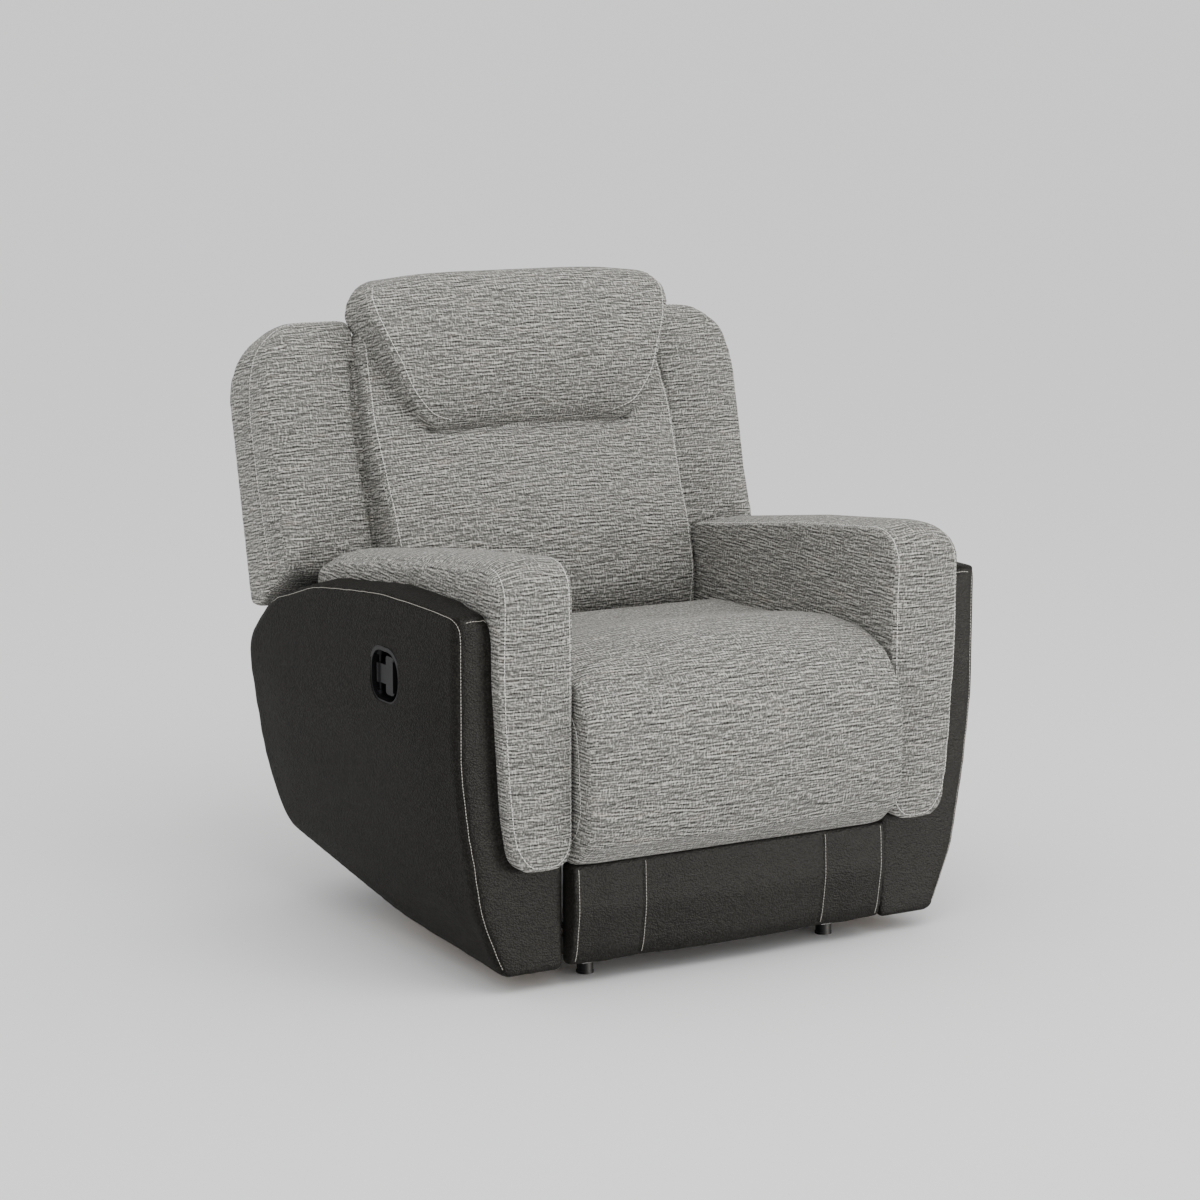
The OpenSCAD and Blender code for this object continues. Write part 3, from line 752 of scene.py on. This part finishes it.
def lumbar():
    """Back pillow with side gussets, a full lower part and a tuck under the head pillow."""
    side = [[-28, 104, 8], [-132, 106, 30], [-150, 180, 90], [-149, 275, 200], [-127, 392, 300],
            [-108, 498, 300], [-86, 605, 100], [-66, 684, 30], [-28, 694, 14]]
    face = mirror_face([[303, 98, 16], [303, 250, 60], [299, 330, 100], [307, 430, 200], [307, 510, 200],
                        [297, 620, 100], [286, 694, 40]])
    gusset = fillet([[-70, 104, 0], [44, 60, 0], [44, 640, 0], [-66, 640, 0]])
    gussets = [prism(gusset, "x", *sorted((s * 0.266, s * 0.302))) for s in (-1, 1)]
    pad = joined(shaped_pad(side, face), *gussets)
    pad.data.transform(BACK)
    remesh(pad)
    relax(pad, 3)
    seams = both_sides([(300, -146, 112), (300, -150, 200), (299, -149, 275), (303, -127, 392),
                        (306, -108, 498), (299, -86, 605), (288, -68, 680)])
    held = seams[0] + seams[1]
    co = coords(pad)
    u, w = raked(co)
    wide = np.clip(np.abs(co[:, 0]) / (300 * MM), 0, 1)
    swell = np.interp(w, [0.10, 0.16, 0.26, 0.40, 0.47, 0.60, 0.69],
                      [0.018, 0.034, 0.038, 0.030, 0.024, 0.0, 0.0])
    rise = swell * (1 - wide ** 2.6) * np.clip((-0.028 - u) / 0.1, 0, 1)
    set_coords(pad, co - np.array(OUT) * rise[:, None])
    puff(pad, 10 * MM, held, lambda co, n: 1 - step(facing(n), 0.0, 0.5))
    subdivide(pad)
    for seam in seams:
        seam_groove(pad, seam, 3 * MM, 4 * MM)
    tuck = smooth_path(in_back([(-200, -160, 482), (0, -160, 479), (200, -160, 482)]))
    seam_groove(pad, tuck, 14 * MM, 11 * MM)
    relax(pad, 2)
    weave_map(pad, fillet(side), raked)
    pad.name = "back_pillow"
    dress(pad, FABRIC, "back", ("back_cushion",))
    sew("back_stitching", pad, pillow_rows([s[:-12] for s in seams], 4 * MM), FABRIC_THREAD, "back")


def headrest():
    """Head pillow that narrows towards its lower edge."""
    side = [[-44, 466, 8], [-124, 468, 20], [-149, 494, 30], [-160, 566, 160], [-154, 650, 140],
            [-134, 716, 60], [-104, 741, 36], [-54, 742, 34], [-28, 690, 20]]
    face = mirror_face([[200, 468, 34], [246, 532, 90], [274, 606, 200], [303, 680, 60], [302, 743, 46]])
    pad = shaped_pad(side, face)
    pad.data.transform(BACK)
    remesh(pad, 6 * MM)
    relax(pad, 2)
    seams = both_sides([(170, -140, 478), (200, -148, 486), (226, -153, 511), (248, -157, 543),
                        (264, -158, 588), (282, -155, 630), (297, -147, 680), (300, -134, 712),
                        (290, -116, 732)])
    low = smooth_path(in_back([(-190, -142, 478), (0, -146, 476), (190, -142, 478)]))
    held = seams[0] + seams[1] + low
    crown(pad, 12 * MM, held, 85 * MM, lambda co, n: step(facing(n) + 0.6 * (n @ np.array(UP)), 0.1, 0.6))
    puff(pad, 9 * MM, held, lambda co, n: step(-facing(n), 0.2, 0.6))
    subdivide(pad)
    for seam in seams:
        seam_groove(pad, seam, 3.5 * MM, 4 * MM)
    relax(pad, 1)
    weave_map(pad, fillet(side), raked)
    pad.name = "head_pillow"
    dress(pad, FABRIC, "back", ("head_cushion",))
    sew("head_stitching", pad, pillow_rows(seams, 5 * MM), FABRIC_THREAD, "back")


def wings():
    """Padded wings beside the pillows, with one seam round the outer front edge."""
    side = [[-80, 246, 26], [-26, 226, 40], [66, 190, 18], [97, 197, 12], [97, 590, 60], [28, 686, 60],
            [-50, 682, 44], [-64, 560, 200]]
    near = ARM_IN / MM - 9
    face = [[near, 160, 0], [482, 160, 0], [486, 560, 60], [474, 640, 74], [408, 690, 90], [near, 688, 0]]
    wing = boolean(prism(fillet(side), "x", 0.2, 0.6), prism(fillet(face), "y", -0.4, 0.3), "INTERSECT")
    wing.data.transform(BACK)
    remesh(wing, 6 * MM)
    x, (u, _) = coords(wing)[:, 0], raked(coords(wing))
    relax(wing, 30, weight=0.1 + 0.9 * (1 - step(u, -0.02, 0.03)) * step(x, 0.36, 0.44))
    edge = [(485, 0, 222), (486, 2, 300), (487, 10, 400), (487, 12, 500), (485, 6, 570), (474, -4, 628),
            (444, -12, 664), (404, -16, 682), (350, -18, 688), (306, -18, 688)]
    seam = smooth_path(in_back(edge))
    inner = smooth_path(in_back([(300, -76, 250), (300, -70, 450), (300, -62, 660)]))
    held = seam + inner

    def fixed(co, n):
        """Lets the face and the front of the outer side swell."""
        return 1 - step(facing(n) + 0.7 * n[:, 0] * (raked(co)[0] < 0.03), 0.0, 0.5)

    crown(wing, 9 * MM, held, 70 * MM, lambda co, n: step(facing(n), 0.0, 0.6))
    puff(wing, 9 * MM, held, fixed)
    subdivide(wing)
    path = seam_groove(wing, seam, 3.5 * MM, 4.5 * MM)
    beside = smooth_path(in_back([(300, -80, 240), (303, -78, 330), (312, -76, 430), (312, -74, 510),
                                  (304, -66, 600)]))
    seam_groove(wing, beside, 15 * MM, 7 * MM)
    relax(wing, 1)
    weave_map(wing, fillet(side), raked)
    wing.name = "wing_cover_right"
    other = mirrored(wing, "wing_cover_left")
    row = [p - OUT * 8 * MM for p in path[8:]]
    for piece, name, line in ((wing, "right", row), (other, "left", flip(row))):
        dress(piece, FABRIC, "back", ("wing_" + name,))
        sew("wing_stitching_" + name, piece, [line], FABRIC_THREAD, "back")


def rear_cover():
    """Fabric over the rear board, turned over its top edge."""
    face = mirror_face([[294, -34, 12], [294, 214, 10], [309, 250, 10], [309, 645, 24]])
    cover = prism(fillet(face), "y", 78 * MM, 95 * MM)
    lip = prism(fillet([[-306, 628, 0], [306, 628, 0], [306, 646, 0], [-306, 646, 0]]),
                "y", -26 * MM, 90 * MM)
    cover = joined(cover, lip)
    cover.data.transform(BACK)
    remesh(cover)
    relax(cover, 3)
    left, right = both_sides([(290, 95, -28), (290, 95, 200), (304, 95, 262), (304, 95, 640)])
    rim = left + right + smooth_path(in_back([(-300, 95, 640), (300, 95, 640)]))
    rim += smooth_path(in_back([(-290, 95, -30), (290, 95, -30)]))
    crown(cover, 9 * MM, rim, 120 * MM, lambda co, n: step(n @ np.array(OUT), 0.2, 0.7))
    subdivide(cover)
    weave_map(cover, fillet([[95, -40, 0], [95, 648, 0], [-40, 648, 0]]), raked)
    cover.name = "rear_cover_fabric"
    dress(cover, FABRIC, "back", ("rear_cover",))
    upright = [(284, 100, -24), (284, 100, 200), (299, 100, 262), (299, 100, 636)]
    rows = [spread(in_back([(s * x, u, w) for x, u, w in upright]), PATH_STEP) for s in (-1, 1)]
    rows.append(spread(in_back([(-290, 100, 634), (290, 100, 634)]), PATH_STEP))
    sew("rear_stitching", cover, rows, FABRIC_THREAD, "back")


def rear_skirt():
    """Leather board across the bottom of the rear."""
    skirt = prism(fillet([[-302, 97, 8], [302, 97, 8], [302, 299, 8], [-302, 299, 8]]), "y", 0.381, 0.391)
    remesh(skirt, 5 * MM)
    relax(skirt, 2)
    subdivide(skirt)
    skirt.name = "rear_skirt_cover"
    dress(skirt, LEATHER, "body", ("rear_skirt",))
    row = spread([(-0.288, 0.395, 0.288), (0.288, 0.395, 0.288)], PATH_STEP)
    sew("skirt_stitching", skirt, [row], LEATHER_THREAD, "body", **LEATHER_SEWING)


# ---- Arms ----
def bowed(height):
    """How far in from the outer edge the front of an arm pad lies at a height, both in millimetres."""
    return float(np.interp(height, [200, 300, 420, 520], [28, 13, 4, 0]))


def arm_pads():
    """One band that runs up the front of the arm, over its top and back, with a stitched seam on both edges."""
    top = ARM_TOP / MM - 5
    out = PAD_OUT / MM - 9
    inner = ARM_IN / MM + 1
    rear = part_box("arm_pad_right")[1].y / MM - 1
    over = [[-461, top - 1, 56], [-384, top, 60], [-150, top - 24, 300], [rear - 40, top - 72, 34],
            [rear - 4, top - 108, 20]]
    band = [[-404, 206, 0], [-461, 206, 10], *over, [rear, 567, 4], [176, 577, 0], [110, 590, 0],
            [-404, 592, 0]]
    front = [[inner, 206, 40], [out - bowed(200), 206, 40], [out - bowed(300), 300, 300], [out, 520, 300],
             [out, 760, 0], [inner, 760, 0]]
    inner_side = [[-420, 396, 0], [-420, 640, 0], [160, 600, 0], [190, 562, 0], [238, 548, 0], [300, 524, 0],
                  [345, 484, 0], [345, 396, 0]]
    pad = boolean(prism(fillet(band, FINE_FILLET), "x", 0.2, 0.6), prism(fillet(front, 10), "y", -0.6, 0.4),
                  "INTERSECT")
    pad = joined(pad, prism(fillet(inner_side), "x", ARM_IN + 1 * MM, ARM_IN + 15 * MM))
    remesh(pad, 6 * MM)
    co = coords(pad)
    outer_roll = step(co[:, 0], PAD_OUT - 0.06, PAD_OUT - 0.02)
    outer_roll = outer_roll * step(co[:, 1], -0.44, -0.38) * step(co[:, 2], 0.6, 0.62)
    crest = np.interp(co[:, 1], *zip(*sorted(fillet(over, FINE_FILLET))))
    relax(pad, 3)
    # The top rolls down towards the outer seam.
    co = coords(pad)
    drop = np.clip((co[:, 0] - PAD_OUT + 0.05) / 0.05, 0, 1) ** 2 * step(co[:, 2], crest - 0.07, crest)
    co[:, 2] -= 20 * MM * drop
    set_coords(pad, co)
    relax(pad, 16, weight=outer_roll)
    # One seam goes from the rear along the inner edge, round the foot of the front and back to the rear.
    over_top = fillet([[-461, 300, 0], *over], FINE_FILLET)[1:-22]
    edges = []
    for lane in (lambda z: inner + 4, lambda z: out - bowed(z) - 5):
        upright = [Vector((lane(z), -457, z)) * MM for z in (262, 320, 380, 440, 500, 560)]
        edges.append(upright + [Vector((lane(600) * MM, y, z)) for y, z in over_top])
    foot = ((inner + 8, 236), (inner + 24, 216), (inner + 44, 211), (out - 72, 211), (out - 52, 216),
            (out - 35, 236))
    foot = [Vector((x * MM, -0.457, z * MM)) for x, z in foot]
    loop = smooth_path(list(reversed(edges[0])) + foot + edges[1])

    def free(co, n):
        """Lets the top and the front swell, but not the rear end."""
        return step(np.maximum(n[:, 2], -n[:, 1]), 0.2, 0.7) * (1 - step(co[:, 1], 0.14, 0.2))

    crown(pad, 8 * MM, loop, 45 * MM, free)
    puff(pad, 7 * MM, loop, lambda co, n: 1 - free(co, n))
    subdivide(pad)
    path = seam_groove(pad, loop, 2.5 * MM, 3.5 * MM)
    relax(pad, 1)
    weave_map(pad, fillet([[rear, 400, 0], *reversed(over), [-462, 200, 0]], FINE_FILLET))
    pad.name = "arm_pad_cover_right"
    other = mirrored(pad, "arm_pad_cover_left")
    # The outer edge has stitches on the front only, since the leather panel hides the rest.
    middle = (ARM_IN + PAD_OUT) / 2
    row = [p + Vector((math.copysign(2 * MM, middle - p.x), -2 * MM if p.y < -0.42 else 0, 0))
           for p in path if not (p.x > middle and p.y > -0.40)]
    for piece, name, lane in ((pad, "right", row), (other, "left", flip(row))):
        dress(piece, FABRIC, "body", ("arm_pad_" + name,))
        sew("arm_stitching_" + name, piece, [lane], FABRIC_THREAD, "body")


# Side outline of an arm panel.
PANEL_SIDE = [[-428, 29, 8], [-80, 46, 600], [334, 128, 70], [372, 230, 300], [400, 462, 60],
              [300, 545, 150], [110, 597, 400], [-156, 626, 500], [-428, 624, 6]]


def drawn_in(x, y):
    """The outer side of an arm panel turns round its front edge in a small radius."""
    turn = np.clip((-y - 0.406) / 0.022, 0, 1)
    return x - 18 * MM * (1 - np.sqrt(1 - turn ** 2)) * np.clip((x - 0.38) / 0.1, 0, 1)


def arm_panel():
    """Right arm panel: a padded board whose top slopes, an apron below the pad and a thin rim underneath."""
    out = ARM_OUT / MM
    inner = ARM_IN / MM
    board = out - 63  # inner side of the padded board
    face = [[inner + 2, 30, 6], [out - 84, 30, 12], [out - 38, 140, 160], [out - 15, 270, 500],
            [out - 1, 400, 500], [out - 1, 640, 0], [inner + 2, 640, 0]]
    hollow = [[inner - 10, 0, 0], [out - 124, 0, 0], [out - 76, 150, 0], [board, 280, 0], [board, 660, 0],
              [inner - 10, 660, 0]]
    above_apron = [[inner - 10, 270, 0], [inner + 22, 203, 0], [inner + 22, 590, 0], [board, 590, 0],
                   [board, 660, 0], [inner - 10, 660, 0]]
    side = fillet(PANEL_SIDE, 14)
    shell = boolean(prism(side, "x", 0.2, 0.6), prism(fillet(face, 10), "y", -0.5, 0.5), "INTERSECT")
    boolean(shell, prism(fillet(hollow), "y", -0.404, 0.6), "DIFFERENCE")
    boolean(shell, prism(fillet(above_apron), "y", -0.6, -0.40), "DIFFERENCE")
    # The rim closes the arm below and behind.
    wall = prism(side, "x", ARM_IN + 2 * MM, ARM_OUT - 53 * MM)
    rim = 0.011
    inset = [(y - rim * (1 if y > 0 else 0), z - rim * (1 if z > 0.33 else -1)) for y, z in side]
    boolean(wall, prism(inset, "x", 0.2, 0.6), "DIFFERENCE")
    boolean(wall, prism([(-0.6, 0), (0.12, 0), (0.12, 0.7), (-0.6, 0.7)], "x", 0.1, 0.7), "DIFFERENCE")
    boolean(wall, prism(fillet(face), "y", -0.5, 0.5), "INTERSECT")
    shell = joined(shell, wall)
    remesh(shell, 6 * MM)
    relax(shell, 5)
    co = coords(shell)
    under = np.interp(co[:, 1], *zip(*sorted((y, z) for y, z in side if z < 0.16)))
    behind = np.interp(co[:, 2], *zip(*sorted((z, y) for y, z in side if y > 0.29)))
    relax(shell, 14, weight=step(under + 0.025 - co[:, 2], 0, 0.02) * step(co[:, 1], -0.41, -0.34))
    relax(shell, 22, weight=step(co[:, 1] - behind + 0.03, 0, 0.02) * (co[:, 2] > 0.13))
    # The strip along the top slopes up towards the pad.
    co = coords(shell)
    top = np.interp(co[:, 1], *zip(*sorted((y, z) for y, z in side if z > 0.5)))
    inward = 1 - np.clip((co[:, 0] - board * MM) / (ARM_OUT - board * MM), 0, 1)
    co[:, 2] += 9 * MM * inward * step(co[:, 2], top - 0.05, top) * (1 - step(co[:, 1], 0.1, 0.3))
    set_coords(shell, co)
    relax(shell, 40, weight=step(inward, 0.3, 0.8) * step(co[:, 2], 0.56, 0.6) * step(-co[:, 1], 0.33, 0.38))
    held = fillet([[y * 0.98, 0.98 * (z - 330) + 326, r] for y, z, r in PANEL_SIDE])
    held = spread([(ARM_OUT, y, z) for y, z in held + held[:1]], 6 * MM)
    crown(shell, 5 * MM, held, 90 * MM, lambda co, n: step(n[:, 0], 0.4, 0.8) * step(co[:, 0], 0.40, 0.44))
    co = coords(shell)
    co[:, 0] = drawn_in(co[:, 0], co[:, 1])
    set_coords(shell, co)
    subdivide(shell)
    shell.name = "arm_panel_cover_right"
    return shell


def arm_panels():
    """Both arm panels, with the hole for the handle cup in the left one."""
    right = arm_panel()
    left = mirrored(right, "arm_panel_cover_left")
    cup = [[-231, 446, 40], [-127, 446, 34], [-127, 534, 34], [-231, 534, 40]]
    boolean(left, prism(fillet(cup, 10), "x", -0.53, -0.43), "DIFFERENCE")
    out = ARM_OUT / MM
    edge = [(300, 542), (240, 556), (180, 572), (110, 592), (20, 605), (-80, 616), (-180, 623), (-300, 625),
            (-380, 624), (-410, 621), (-422, 612), (-425, 590), (-425, 545), (-425, 460), (-425, 380)]
    lower = [(13, 280), (24, 220), (38, 140), (62, 80), (78, 45)]
    seam = [(out - 2, y, z) for y, z in edge] + [(out - dx, -425, z) for dx, z in lower]
    seam = smooth_path([(drawn_in(x * MM, y * MM), y * MM, z * MM) for x, y, z in seam])
    across = spread([(PAD_OUT - 16 * MM, -0.43, 0.622), (ARM_OUT - 20 * MM, -0.43, 0.617)], PATH_STEP)
    for piece, name, turn in ((right, "right", list), (left, "left", flip)):
        rows = [turn(r) for r in (seam, across)]
        for row in rows:
            seam_groove(piece, row, 1.5 * MM, 3 * MM)
        dress(piece, LEATHER, "body", ("arm_panel_" + name,))
        sew("panel_stitching_" + name, piece, rows, LEATHER_THREAD, "body", **LEATHER_SEWING)


def arm_linings():
    """Thin dark cloth over the inner side of each wooden arm frame, below and behind the pad."""
    outline = fillet([[-404, 64, 0], [-80, 80, 0], [313, 152, 0], [350, 242, 0], [370, 440, 0], [288, 516, 0],
                      [176, 546, 0], [176, 402, 0], [-404, 402, 0]])
    lining = prism(outline, "x", ARM_IN + 3 * MM, ARM_IN + 9 * MM)
    lining.name = "arm_lining_right"
    for piece in (lining, mirrored(lining, "arm_lining_left")):
        dress(piece, LEATHER, "body")
        piece.data.shade_flat()


for build in (chaise_pad, kick_panel, lumbar, headrest, wings, rear_cover, rear_skirt, arm_pads, arm_panels,
              arm_linings):
    build()


# ---- Floor, light and camera ----
FLOOR_ALBEDO = 0.9
# Sky brightness. The zenith is set so that the far floor is as bright as the horizon and no line shows.
HORIZON = 1.06
ZENITH = HORIZON * (1 + 1.5 * (1 / FLOOR_ALBEDO - 1))


def stage():
    """Wide pale floor, an even sky and three soft lights."""
    size = 60.0
    floor = new_object("floor", [(-size, -size, 0), (size, -size, 0), (size, size, 0), (-size, size, 0)],
                       [[0, 1, 2, 3]])
    s = Shader("pale_floor", 0.9, grey(FLOOR_ALBEDO), Specular_IOR_Level=0.0)
    floor.data.materials.append(s.material)
    world = bpy.data.worlds.new("studio")
    bpy.context.scene.world = world
    world.use_nodes = True
    nodes, links = world.node_tree.nodes, world.node_tree.links
    way = nodes.new("ShaderNodeTexCoord")
    split = nodes.new("ShaderNodeSeparateXYZ")
    links.new(way.outputs["Generated"], split.inputs[0])
    rise = nodes.new("ShaderNodeMapRange")
    rise.inputs["To Min"].default_value = HORIZON
    rise.inputs["To Max"].default_value = ZENITH
    links.new(split.outputs["Z"], rise.inputs["Value"])
    links.new(rise.outputs[0], nodes["Background"].inputs["Strength"])
    nodes["Background"].inputs["Color"].default_value = (1, 1, 1, 1)
    aim = Vector((0, 0, 0.5))
    for name, spot, size, power in (("key", (2.5, -4.3, 1.7), 2.2, 20), ("top", (0.2, -2.3, 4.1), 3.2, 85),
                                    ("sheen", (2.3, -3.9, 0.6), 1.8, 2200)):
        light = bpy.data.lights.new(name, "AREA")
        light.size = size
        light.energy = power
        lamp = bpy.data.objects.new(name, light)
        lamp.location = spot
        lamp.rotation_euler = (aim - Vector(spot)).to_track_quat("-Z", "Y").to_euler()
        if name == "sheen":  # only the leather's gloss shows this one
            lamp.visible_diffuse = False
            light.color = (1.0, 0.96, 0.9)
        bpy.context.scene.collection.objects.link(lamp)


def camera():
    """Looks 29.5 degrees in from the front, 10.3 degrees down, from 5.64 m away."""
    azimuth, drop, away = math.radians(-29.5), math.radians(10.28), 5.637
    target = Vector((0.0011, 0, 0.5427))
    sight = Vector((-math.sin(azimuth) * math.cos(drop), math.cos(azimuth) * math.cos(drop), -math.sin(drop)))
    data = bpy.data.cameras.new("camera")
    data.lens = 96.85
    data.sensor_width = 36
    view = bpy.data.objects.new("camera", data)
    view.location = target - sight * away
    view.rotation_euler = sight.to_track_quat("-Z", "Y").to_euler()
    bpy.context.scene.collection.objects.link(view)
    bpy.context.scene.camera = view


stage()
camera()
